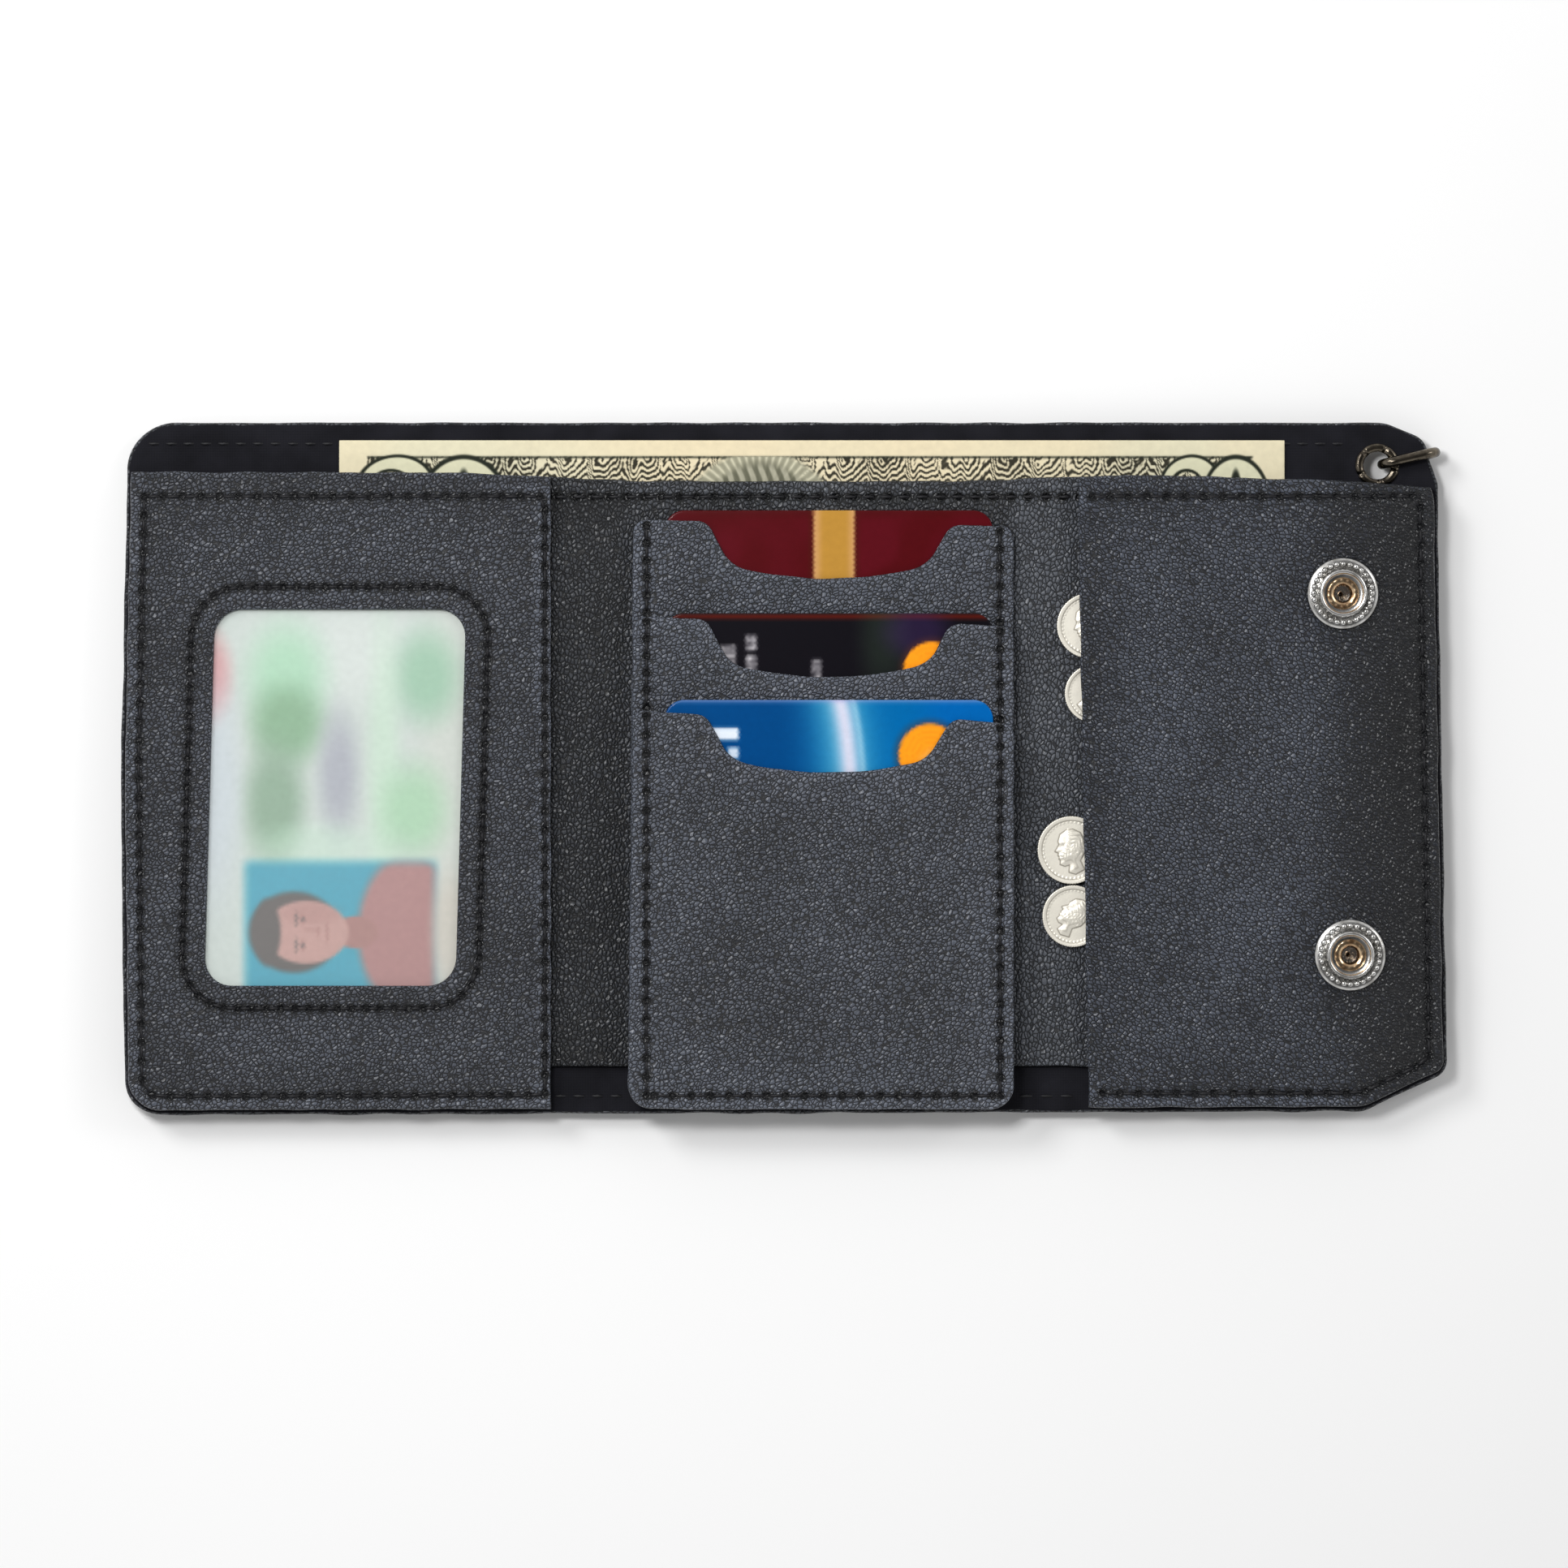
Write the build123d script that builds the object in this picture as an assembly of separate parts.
from build123d import *
import os

# Trifold chain wallet, lying opened flat on its back. Millimetres.
# +X runs across the three panels, +Y towards the banknote opening, +Z out of the inside face.
# The origin is on the surface that the snap studs and caps stand on, under the middle.

# ---- Overall size, opened flat ----
WALLET_WIDTH = 219.0
WALLET_HEIGHT = 114.3
HALF_WIDTH = WALLET_WIDTH / 2
HALF_HEIGHT = WALLET_HEIGHT / 2

# ---- The two fold strips, where only the soft leather bends ----
LEFT_FOLD = (-38.5, -31.0)
RIGHT_FOLD = (38.0, 48.4)
LEFT_FOLD_AXIS_X = -34.75
RIGHT_FOLD_AXIS_X = 40.9

# ---- Sheet thicknesses and gaps ----
HARDWARE_STANDOFF = 2.4
SHELL_THICKNESS = 1.0
LINING_THICKNESS = 0.2
BILL_GAP = 0.6
WALL_THICKNESS = 0.7
POCKET_THICKNESS = 0.6
FRONT_THICKNESS = 0.7
WINDOW_THICKNESS = 0.2
THREAD_HEIGHT = 0.08
THREAD_WIDTH = 0.5
THREAD_END_GAP = 0.9
SLIP_GAP = 0.12

# ---- Heights, from the surface upwards ----
SHELL_BOTTOM = HARDWARE_STANDOFF
SHELL_TOP = SHELL_BOTTOM + SHELL_THICKNESS
LINING_TOP = SHELL_TOP + LINING_THICKNESS
WALL_BOTTOM = LINING_TOP + BILL_GAP
WALL_TOP = WALL_BOTTOM + WALL_THICKNESS

# ---- Edges of the inside ----
LINING_INSET = 0.4
PANEL_INSET = 0.9
WALL_TOP_EDGE = 47.9
WALL_BOTTOM_EDGE = -49.0
CAVITY_FLOOR = WALL_BOTTOM_EDGE + 0.5
HEM_SEAM_Y = 45.7
LINING_SEAM_Y = 53.7
SEAM_INSET = 2.2
RIM_WIDTH = 4.4
INNER_REACH = HALF_WIDTH - PANEL_INSET - RIM_WIDTH

# ---- Cards (ID-1), banknote and coins ----
CARD_WIDTH = 54.0
CARD_LENGTH = 85.6
CARD_CORNER = 3.18
CARD_THICKNESS = 0.76
SLOT_MARGIN = 0.3
NOTE_WIDTH = 156.0
NOTE_HEIGHT = 66.0
NOTE_THICKNESS = 0.12
NOTE_CENTER_X = 4.6
NOTE_TOP_EDGE = 54.2
COIN_THICKNESS = 1.0
COINS = [  # centre x, centre y, radius, from the top down
    (50.4, 23.6, 5.4),
    (51.1, 12.4, 4.8),
    (47.4, -13.4, 5.6),
    (47.7, -24.3, 5.1),
]

# ---- Middle panel: three overlapping card pockets ----
STACK_LEFT = -25.7
STACK_RIGHT = 37.8
STACK_BOTTOM = -56.0
STACK_CARD_X = 7.4
SCOOP_HALF_WIDTH = 20.2
SCOOP_HIP_HALF_WIDTH = 16.2
SCOOP_HIP_DEPTH = 7.2
SCOOP_DEPTH = 10.2
STACK_POCKETS = [  # name, top edge at its left and right end, card's top edge, card's length
    ("top", 41.0, 40.0, 42.6, CARD_LENGTH),
    ("middle", 25.2, 23.3, 25.6, 77.6),
    ("bottom", 9.7, 7.3, 11.3, 63.3),
]

# ---- Left panel: ID pocket with a clear window ----
ID_WINDOW_X = -74.0
ID_WINDOW_Y = -4.75
ID_WINDOW_WIDTH = 43.0
ID_WINDOW_HEIGHT = 62.1
ID_WINDOW_CORNER = 4.7
ID_WINDOW_OVERLAP = 3.2
ID_SEAM_OFFSET = 3.7

# ---- Right panel: coin pocket ----
MOUTH_TOP_X = 48.5
MOUTH_BOTTOM_X = 50.3

# ---- Snap fasteners ----
SOCKETS = {"upper": (92.1, 28.9), "lower": (93.3, -30.7)}
SOCKET_RADIUS = 5.9
SOCKET_HEIGHT = 2.4
SOCKET_BORE = 3.5
STUD_FLANGE_RADIUS = 4.6
STUD_HEAD_RADIUS = 3.0
STUD_NECK_RADIUS = 2.6
CAP_RADIUS = 6.2
EYELET_RADIUS = 1.7
EYELET_BORE = 1.35
RIVET_RADIUS = 1.45
RIVET_BORE = 1.0
POST_CLEARANCE = 0.05
CUTTER_LENGTH = 20.0

# ---- Chain grommet and the one chain link in it ----
GROMMET_X = 98.0
GROMMET_Y = 50.1
GROMMET_RADIUS = 3.65
GROMMET_TUBE_RADIUS = 2.55
GROMMET_BORE = 2.25
LINK_WIRE_RADIUS = 0.85
LINK_BEND_RADIUS = 2.1
LINK_NEAR = 0.9
LINK_FAR = 9.85
LINK_ANGLE = 13.0


def rounded_face(*corners):
    """A flat face through (x, y, corner radius) corners, given in order round it."""
    points = [(x, y) for x, y, radius in corners]
    radii = [radius for x, y, radius in corners]
    return make_face(FilletPolyline(*points, radius=radii, close=True))


def plate(face, bottom, top):
    """A flat sheet of the face's outline between two heights."""
    return extrude(Pos(0, 0, bottom) * face, amount=top - bottom)


def block(x_range, y_range, z_range):
    """A box between three pairs of limits."""
    size = [high - low for low, high in (x_range, y_range, z_range)]
    middle = [(high + low) / 2 for low, high in (x_range, y_range, z_range)]
    return Pos(*middle) * Box(*size)


def between(face, x_range, y_range=(-HALF_HEIGHT, HALF_HEIGHT)):
    """The part of a face inside a rectangle."""
    width = x_range[1] - x_range[0]
    height = y_range[1] - y_range[0]
    middle = Pos(sum(x_range) / 2, sum(y_range) / 2)
    return face & (middle * Rectangle(width, height))


def post_hole(x, y, post_radius):
    """A cutter through every sheet, a little wider than the post in it."""
    return Pos(x, y, SHELL_BOTTOM) * Cylinder(post_radius + POST_CLEARANCE, CUTTER_LENGTH)


def turned(x, y, *profile):
    """A solid of revolution about a vertical axis, from (radius, height) points."""
    section = make_face(Polyline(*[(radius, 0, height) for radius, height in profile], close=True))
    return Pos(x, y, 0) * revolve(section, Axis.Z)


def shell_outline():
    """The outer leather's outline: a long sheet with hand-trimmed right corners."""
    return rounded_face(
        (-108.3, HALF_HEIGHT, 8.0),
        (-HALF_WIDTH, 0, 60.0),
        (-108.9, -HALF_HEIGHT, 6.0),
        (95.8, -HALF_HEIGHT + 0.6, 6.0),
        (HALF_WIDTH, -50.0, 3.0),
        (107.9, 47.0, 3.0),
        (106.5, 51.3, 2.0),
        (106.3, 54.2, 4.0),
        (99.4, HALF_HEIGHT, 6.0),
    )


OUTLINE = shell_outline()
PANEL_AREA = offset(OUTLINE, amount=-PANEL_INSET)
PANEL_SPANS = {
    "left_panel": (-HALF_WIDTH, LEFT_FOLD[0]),
    "left_fold": LEFT_FOLD,
    "center": (LEFT_FOLD[1], RIGHT_FOLD[0]),
    "right_fold": RIGHT_FOLD,
    "right_panel": (RIGHT_FOLD[1], HALF_WIDTH),
}
CLOSED_SHIFT = 2 * (RIGHT_FOLD_AXIS_X - LEFT_FOLD_AXIS_X)
STUDS = {name: (x - CLOSED_SHIFT, y) for name, (x, y) in SOCKETS.items()}


def eyelet_holes(sheet):
    """Cut the socket eyelets' holes out of a sheet."""
    for x, y in SOCKETS.values():
        sheet -= post_hole(x, y, EYELET_RADIUS)
    return sheet


def drilled(sheet):
    """Cut every fastener's hole out of a sheet of the outer leather."""
    sheet = eyelet_holes(sheet)
    for x, y in STUDS.values():
        sheet -= post_hole(x, y, RIVET_RADIUS)
    return sheet - post_hole(GROMMET_X, GROMMET_Y, GROMMET_TUBE_RADIUS)


def outer_shell(span):
    """One stretch of the outer leather."""
    return drilled(plate(between(OUTLINE, span), SHELL_BOTTOM, SHELL_TOP))


def bill_lining():
    """The thin lining glued to the outer leather's inside."""
    return drilled(plate(offset(OUTLINE, amount=-LINING_INSET), SHELL_TOP, LINING_TOP))


def inner_wall(span):
    """One stretch of the leather wall between the banknotes and the pockets."""
    face = between(PANEL_AREA, span, (WALL_BOTTOM_EDGE, WALL_TOP_EDGE))
    wall = eyelet_holes(plate(face, WALL_BOTTOM, WALL_TOP))
    outer_rim = face - between(face, (-INNER_REACH, INNER_REACH))
    if outer_rim.faces():
        wall += plate(outer_rim, LINING_TOP, WALL_BOTTOM)
    return wall


def pocket_front(face, bottom, top, cavity):
    """A pocket's front leather, with edges turned down to the sheets it is sewn to.

    The cavity is the rectangle ((x low, x high), (y low, y high)) left open under it.
    """
    rims = face - between(face, *cavity)
    over_wall = between(rims, (-HALF_WIDTH, HALF_WIDTH), (WALL_BOTTOM_EDGE, HALF_HEIGHT))
    past_wall = between(rims, (-HALF_WIDTH, HALF_WIDTH), (-HALF_HEIGHT, WALL_BOTTOM_EDGE))
    front = plate(face, bottom, top) + plate(over_wall, WALL_TOP, bottom)
    return front + plate(past_wall, LINING_TOP, bottom)


ID_CARD_BOTTOM = WALL_TOP + SLIP_GAP
ID_WINDOW_BOTTOM = ID_CARD_BOTTOM + CARD_THICKNESS + SLIP_GAP
ID_FRONT_BOTTOM = ID_WINDOW_BOTTOM + WINDOW_THICKNESS
ID_FRONT_TOP = ID_FRONT_BOTTOM + FRONT_THICKNESS


def id_front_face():
    """The ID pocket's leather outline, before its window is cut."""
    return between(PANEL_AREA, PANEL_SPANS["left_panel"], (-HALF_HEIGHT, WALL_TOP_EDGE))


def window_face(margin, corner):
    """The ID window's rounded rectangle, grown by a margin."""
    outline = RectangleRounded(ID_WINDOW_WIDTH + 2 * margin, ID_WINDOW_HEIGHT + 2 * margin, corner)
    return Pos(ID_WINDOW_X, ID_WINDOW_Y) * outline


def id_pocket_front():
    """The left panel's pocket: open towards the fold, with a window hole."""
    card_edge = ID_WINDOW_X - CARD_WIDTH / 2 - SLOT_MARGIN
    cavity = ((card_edge, LEFT_FOLD[0]), (CAVITY_FLOOR, WALL_TOP_EDGE - RIM_WIDTH))
    front = pocket_front(id_front_face(), ID_FRONT_BOTTOM, ID_FRONT_TOP, cavity)
    return front - plate(window_face(0, ID_WINDOW_CORNER), ID_FRONT_BOTTOM, ID_FRONT_TOP)


def id_window():
    """The clear vinyl sheet behind the window hole."""
    return plate(window_face(ID_WINDOW_OVERLAP, ID_WINDOW_CORNER), ID_WINDOW_BOTTOM, ID_FRONT_BOTTOM)


def card(x, y_top, length, bottom):
    """A plastic card, standing upright in its slot."""
    outline = Pos(x, y_top - length / 2) * RectangleRounded(CARD_WIDTH, length, CARD_CORNER)
    return plate(outline, bottom, bottom + CARD_THICKNESS)


POCKET_PITCH = CARD_THICKNESS + 2 * SLIP_GAP + POCKET_THICKNESS
STACK_TOP = WALL_TOP + len(STACK_POCKETS) * POCKET_PITCH


def card_pocket_face(left_top, right_top):
    """A card pocket's outline, with a thumb scoop in its top edge."""
    scoop_y = (left_top + right_top) / 2
    return rounded_face(
        (STACK_LEFT, STACK_BOTTOM, 4.0),
        (STACK_LEFT + 0.9, left_top, 2.0),
        (STACK_CARD_X - SCOOP_HALF_WIDTH, scoop_y + 0.3, 2.8),
        (STACK_CARD_X - SCOOP_HIP_HALF_WIDTH, scoop_y - SCOOP_HIP_DEPTH, 6.0),
        (STACK_CARD_X, scoop_y - SCOOP_DEPTH, 60.0),
        (STACK_CARD_X + SCOOP_HIP_HALF_WIDTH, scoop_y - SCOOP_HIP_DEPTH, 6.0),
        (STACK_CARD_X + SCOOP_HALF_WIDTH, scoop_y - 0.3, 2.8),
        (STACK_RIGHT, right_top, 2.0),
        (STACK_RIGHT, STACK_BOTTOM, 4.0),
    )


def card_pocket(level, left_top, right_top, card_bottom_y):
    """One card pocket: a sheet whose sewn sides and floor reach the layer below."""
    face = card_pocket_face(left_top, right_top)
    below = WALL_TOP + level * POCKET_PITCH
    top = below + POCKET_PITCH
    half_slot = CARD_WIDTH / 2 + SLOT_MARGIN
    slot_floor = card_bottom_y - SLOT_MARGIN
    slot = ((STACK_CARD_X - half_slot, STACK_CARD_X + half_slot), (slot_floor, HALF_HEIGHT))
    rims = face - between(face, *slot)
    pocket = plate(face, top - POCKET_THICKNESS, top) + plate(rims, below, top - POCKET_THICKNESS)
    if level == 0:
        sole = between(rims, (-HALF_WIDTH, HALF_WIDTH), (-HALF_HEIGHT, WALL_BOTTOM_EDGE))
        pocket += plate(sole, LINING_TOP, below)
    return pocket


COIN_BOTTOM = WALL_TOP + SLIP_GAP
COIN_FRONT_BOTTOM = COIN_BOTTOM + COIN_THICKNESS + SLIP_GAP
COIN_FRONT_TOP = COIN_FRONT_BOTTOM + FRONT_THICKNESS


def coin_front_face():
    """The coin pocket's leather outline, with its slightly slanted mouth."""
    region = make_face(Polyline(
        (MOUTH_TOP_X, WALL_TOP_EDGE),
        (MOUTH_BOTTOM_X, -HALF_HEIGHT),
        (HALF_WIDTH, -HALF_HEIGHT),
        (HALF_WIDTH, WALL_TOP_EDGE),
        close=True,
    ))
    return PANEL_AREA & region


def coin_pocket_front():
    """The right panel's pocket: open towards the fold, sewn on its other sides."""
    cavity = ((RIGHT_FOLD[1], INNER_REACH), (CAVITY_FLOOR, WALL_TOP_EDGE - RIM_WIDTH))
    return eyelet_holes(pocket_front(coin_front_face(), COIN_FRONT_BOTTOM, COIN_FRONT_TOP, cavity))


def coin(x, y, radius):
    """A coin, half out of the coin pocket's mouth."""
    disc = Pos(x, y, COIN_BOTTOM + COIN_THICKNESS / 2) * Cylinder(radius, COIN_THICKNESS)
    return chamfer(disc.edges(), 0.12)


def banknote():
    """The note in the long compartment, showing above the inner wall."""
    middle = Pos(NOTE_CENTER_X, NOTE_TOP_EDGE - NOTE_HEIGHT / 2)
    top = WALL_BOTTOM - SLIP_GAP
    return plate(middle * Rectangle(NOTE_WIDTH, NOTE_HEIGHT), top - NOTE_THICKNESS, top)


def snap_cap(x, y):
    """The domed cap on the wallet's back, behind a socket."""
    skin = 0.4
    return turned(
        x, y,
        (0, 0), (2.4, 0.12), (4.4, 0.62), (5.8, 1.4), (CAP_RADIUS, SHELL_BOTTOM - 0.5),
        (CAP_RADIUS, SHELL_BOTTOM), (CAP_RADIUS - skin, SHELL_BOTTOM),
        (CAP_RADIUS - skin, SHELL_BOTTOM - 0.5), (5.4, 1.7), (4.3, 1.1), (2.3, 0.55), (0, skin),
    )


def snap_eyelet(x, y):
    """The brass tube that holds cap, leather and socket together, rolled over at its top."""
    base = SHELL_BOTTOM
    lip = COIN_FRONT_TOP + 0.35
    return turned(
        x, y,
        (EYELET_BORE, base - 0.3), (5.0, base - 0.3), (5.0, base), (EYELET_RADIUS, base),
        (EYELET_RADIUS, lip), (2.6, lip), (2.45, lip + 0.22), (1.9, lip + 0.3),
        (EYELET_BORE, lip + 0.12),
    )


def snap_socket(x, y):
    """The nickel ring of the snap that the stud pushes into."""
    base = COIN_FRONT_TOP
    rim = base + SOCKET_HEIGHT
    bore = EYELET_RADIUS + POST_CLEARANCE
    return turned(
        x, y,
        (bore, base), (SOCKET_RADIUS - 0.3, base), (SOCKET_RADIUS, base + 0.25),
        (5.5, base + 0.75), (4.9, base + 1.1), (4.5, base + 0.75), (4.25, base + 0.6),
        (4.15, rim - 0.4), (3.9, rim), (3.5, rim), (3.25, rim - 0.25), (3.25, rim - 0.5),
        (SOCKET_BORE, rim - 0.6), (SOCKET_BORE, base + 0.6), (3.2, base + 0.35),
        (bore, base + 0.35),
    )


def socket_spring(x, y):
    """The split wire ring inside the socket that grips the stud's head."""
    height = COIN_FRONT_TOP + SOCKET_HEIGHT - 0.85
    ring = revolve(Plane.XZ * Pos(3.31, height) * Circle(0.14), Axis.Z, 320)
    return Pos(x, y, 0) * ring


def snap_stud(x, y):
    """The male half of the snap, on the back of the left panel."""
    base = SHELL_BOTTOM
    bore = RIVET_RADIUS + POST_CLEARANCE
    return turned(
        x, y,
        (bore, base), (STUD_FLANGE_RADIUS, base), (STUD_FLANGE_RADIUS, base - 0.25), (4.2, base - 0.4),
        (3.0, base - 0.45), (STUD_NECK_RADIUS, base - 0.8), (STUD_NECK_RADIUS, base - 1.3),
        (STUD_HEAD_RADIUS, base - 1.6), (STUD_HEAD_RADIUS, base - 2.0), (2.7, base - 2.35),
        (2.4, 0), (2.1, 0), (2.1, base - 1.7), (bore, base - 1.7),
    )


def stud_rivet(x, y):
    """The rivet that holds the stud, with its flat head in the banknote compartment."""
    head_top = LINING_TOP + 0.3
    roll = SHELL_BOTTOM - 1.75
    return turned(
        x, y,
        (RIVET_BORE, head_top), (4.5, head_top), (4.5, LINING_TOP), (RIVET_RADIUS, LINING_TOP),
        (RIVET_RADIUS, roll), (1.95, roll), (1.9, roll - 0.2), (1.5, roll - 0.28), (RIVET_BORE, roll - 0.1),
    )


def grommet_front():
    """The grommet's rolled ring on the lining, with its tube through the leather."""
    return turned(
        GROMMET_X, GROMMET_Y,
        (GROMMET_TUBE_RADIUS, LINING_TOP), (GROMMET_RADIUS, LINING_TOP), (3.55, LINING_TOP + 0.35),
        (3.2, LINING_TOP + 0.5), (2.75, LINING_TOP + 0.5), (2.4, LINING_TOP + 0.32),
        (GROMMET_BORE, LINING_TOP), (GROMMET_BORE, SHELL_BOTTOM),
        (2.4, SHELL_BOTTOM - 0.5), (GROMMET_TUBE_RADIUS, SHELL_BOTTOM - 0.5),
    )


def grommet_washer():
    """The grommet's ring on the back of the leather."""
    inner = GROMMET_TUBE_RADIUS + POST_CLEARANCE
    return turned(
        GROMMET_X, GROMMET_Y,
        (inner, SHELL_BOTTOM), (GROMMET_RADIUS, SHELL_BOTTOM), (3.5, SHELL_BOTTOM - 0.35),
        (3.1, SHELL_BOTTOM - 0.45), (inner, SHELL_BOTTOM - 0.4),
    )


def chain_link():
    """One oval wire link, standing on edge through the grommet and round the leather's edge."""
    near_bend = LINK_NEAR + LINK_BEND_RADIUS
    far_bend = LINK_FAR - LINK_BEND_RADIUS
    straight = far_bend - near_bend
    bar = Cylinder(LINK_WIRE_RADIUS, straight)
    link = Pos((near_bend + far_bend) / 2, 0, LINK_BEND_RADIUS) * Rot(0, 90, 0) * bar
    link += Pos((near_bend + far_bend) / 2, 0, -LINK_BEND_RADIUS) * Rot(0, 90, 0) * bar
    wire = Pos(0, 0, LINK_BEND_RADIUS) * (Plane.YZ * Circle(LINK_WIRE_RADIUS))
    link += Pos(far_bend, 0, 0) * revolve(wire, Axis.Y, 180)
    link += Pos(near_bend, 0, 0) * revolve(wire, Axis.Y, -180)
    middle_of_leather = (SHELL_BOTTOM + LINING_TOP) / 2
    return Pos(GROMMET_X, GROMMET_Y, middle_of_leather) * Rot(0, 0, LINK_ANGLE) * link


def thread_run(x_range, y_range, base):
    """A straight run of sewing thread lying on a sheet."""
    return block(x_range, y_range, (base, base + THREAD_HEIGHT))


def row(x_range, y, base):
    """A seam along X."""
    return thread_run(x_range, (y - THREAD_WIDTH / 2, y + THREAD_WIDTH / 2), base)


def column(x, y_range, base):
    """A seam along Y."""
    return thread_run((x - THREAD_WIDTH / 2, x + THREAD_WIDTH / 2), y_range, base)


def seam_loop(face, inset, base):
    """Thread along the inside of a face's edge, all the way round."""
    loop = offset(face, amount=-inset) - offset(face, amount=-inset - THREAD_WIDTH)
    return plate(loop, base, base + THREAD_HEIGHT)


def stitching_left_panel():
    """Thread round the ID pocket, and along the lining above it."""
    loop = seam_loop(id_front_face(), SEAM_INSET - THREAD_WIDTH / 2, ID_FRONT_TOP)
    return [loop, row((-INNER_REACH, LEFT_FOLD[0]), LINING_SEAM_Y, LINING_TOP)]


def stitching_window():
    """Thread round the ID window."""
    outer = window_face(ID_SEAM_OFFSET + THREAD_WIDTH / 2, 3.0)
    inner = window_face(ID_SEAM_OFFSET - THREAD_WIDTH / 2, 2.6)
    return [plate(outer - inner, ID_FRONT_TOP, ID_FRONT_TOP + THREAD_HEIGHT)]


def stitching_center():
    """Thread down both sides of the card pockets, across their floor, and along the top hems."""
    span = PANEL_SPANS["center"]
    threads = [row(span, HEM_SEAM_Y, WALL_TOP), row(span, LINING_SEAM_Y, LINING_TOP)]
    left = STACK_LEFT + SEAM_INSET + 0.8
    right = STACK_RIGHT - SEAM_INSET
    floor_y = STACK_BOTTOM + SEAM_INSET
    edges = [pocket[1:3] for pocket in STACK_POCKETS] + [(floor_y, floor_y)]
    for level, (upper, lower) in enumerate(zip(edges, edges[1:]), start=1):
        base = WALL_TOP + level * POCKET_PITCH
        for x, high, low in ((left, upper[0], lower[0]), (right, upper[1], lower[1])):
            threads.append(column(x, (low + THREAD_END_GAP, high - THREAD_END_GAP), base))
    threads.append(row((left + THREAD_END_GAP, right - THREAD_END_GAP), floor_y, STACK_TOP))
    return threads


def stitching_folds():
    """Thread along the two top hems where they cross the fold strips."""
    threads = []
    for span in (LEFT_FOLD, RIGHT_FOLD):
        threads.append(row(span, HEM_SEAM_Y, WALL_TOP))
        threads.append(row(span, LINING_SEAM_Y, LINING_TOP))
    return threads


def stitching_right_panel():
    """Thread round the coin pocket's three sewn sides, and along the lining above it."""
    loop = seam_loop(coin_front_face(), SEAM_INSET - THREAD_WIDTH / 2, COIN_FRONT_TOP)
    open_side = ((RIGHT_FOLD[1], MOUTH_BOTTOM_X + RIM_WIDTH), (STACK_BOTTOM + RIM_WIDTH, HEM_SEAM_Y - 1))
    loop -= block(*open_side, (WALL_TOP, COIN_FRONT_TOP + 1))
    lining_end = GROMMET_X - GROMMET_RADIUS - THREAD_END_GAP
    return [loop, row((RIGHT_FOLD[1], lining_end), LINING_SEAM_Y, LINING_TOP)]


def all_nodes():
    """Every sub-part by name; a list is a group of separate solids."""
    nodes = {}
    for name, span in PANEL_SPANS.items():
        nodes[f"outer_shell_{name}"] = outer_shell(span)
        nodes[f"inner_wall_{name}"] = inner_wall(span)
    nodes["bill_lining"] = bill_lining()
    nodes["banknote"] = banknote()
    nodes["id_pocket_front"] = id_pocket_front()
    nodes["id_window"] = id_window()
    id_card_top = ID_WINDOW_Y + CARD_LENGTH / 2
    nodes["id_card"] = card(ID_WINDOW_X, id_card_top, CARD_LENGTH, ID_CARD_BOTTOM)
    for level, (name, left_top, right_top, card_top, length) in enumerate(STACK_POCKETS):
        nodes[f"card_pocket_{name}"] = card_pocket(level, left_top, right_top, card_top - length)
        card_bottom = WALL_TOP + level * POCKET_PITCH + SLIP_GAP
        nodes[f"card_{name}"] = card(STACK_CARD_X, card_top, length, card_bottom)
    nodes["coin_pocket_front"] = coin_pocket_front()
    for number, (x, y, radius) in enumerate(COINS, start=1):
        nodes[f"coin_{number}"] = coin(x, y, radius)
    for name, (x, y) in SOCKETS.items():
        nodes[f"snap_cap_{name}"] = snap_cap(x, y)
        nodes[f"snap_eyelet_{name}"] = snap_eyelet(x, y)
        nodes[f"snap_socket_{name}"] = snap_socket(x, y)
        nodes[f"socket_spring_{name}"] = socket_spring(x, y)
    for name, (x, y) in STUDS.items():
        nodes[f"snap_stud_{name}"] = snap_stud(x, y)
        nodes[f"stud_rivet_{name}"] = stud_rivet(x, y)
    nodes["grommet_front"] = grommet_front()
    nodes["grommet_washer"] = grommet_washer()
    nodes["chain_link"] = chain_link()
    nodes["stitching_left_panel"] = stitching_left_panel()
    nodes["stitching_window"] = stitching_window()
    nodes["stitching_center"] = stitching_center()
    nodes["stitching_folds"] = stitching_folds()
    nodes["stitching_right_panel"] = stitching_right_panel()
    return nodes


os.makedirs("parts", exist_ok=True)
for node_name, shape in all_nodes().items():
    solids = [shape] if not isinstance(shape, list) else shape
    group = Compound([solid for piece in solids for solid in piece.solids()])
    export_step(group, f"parts/{node_name}.step")
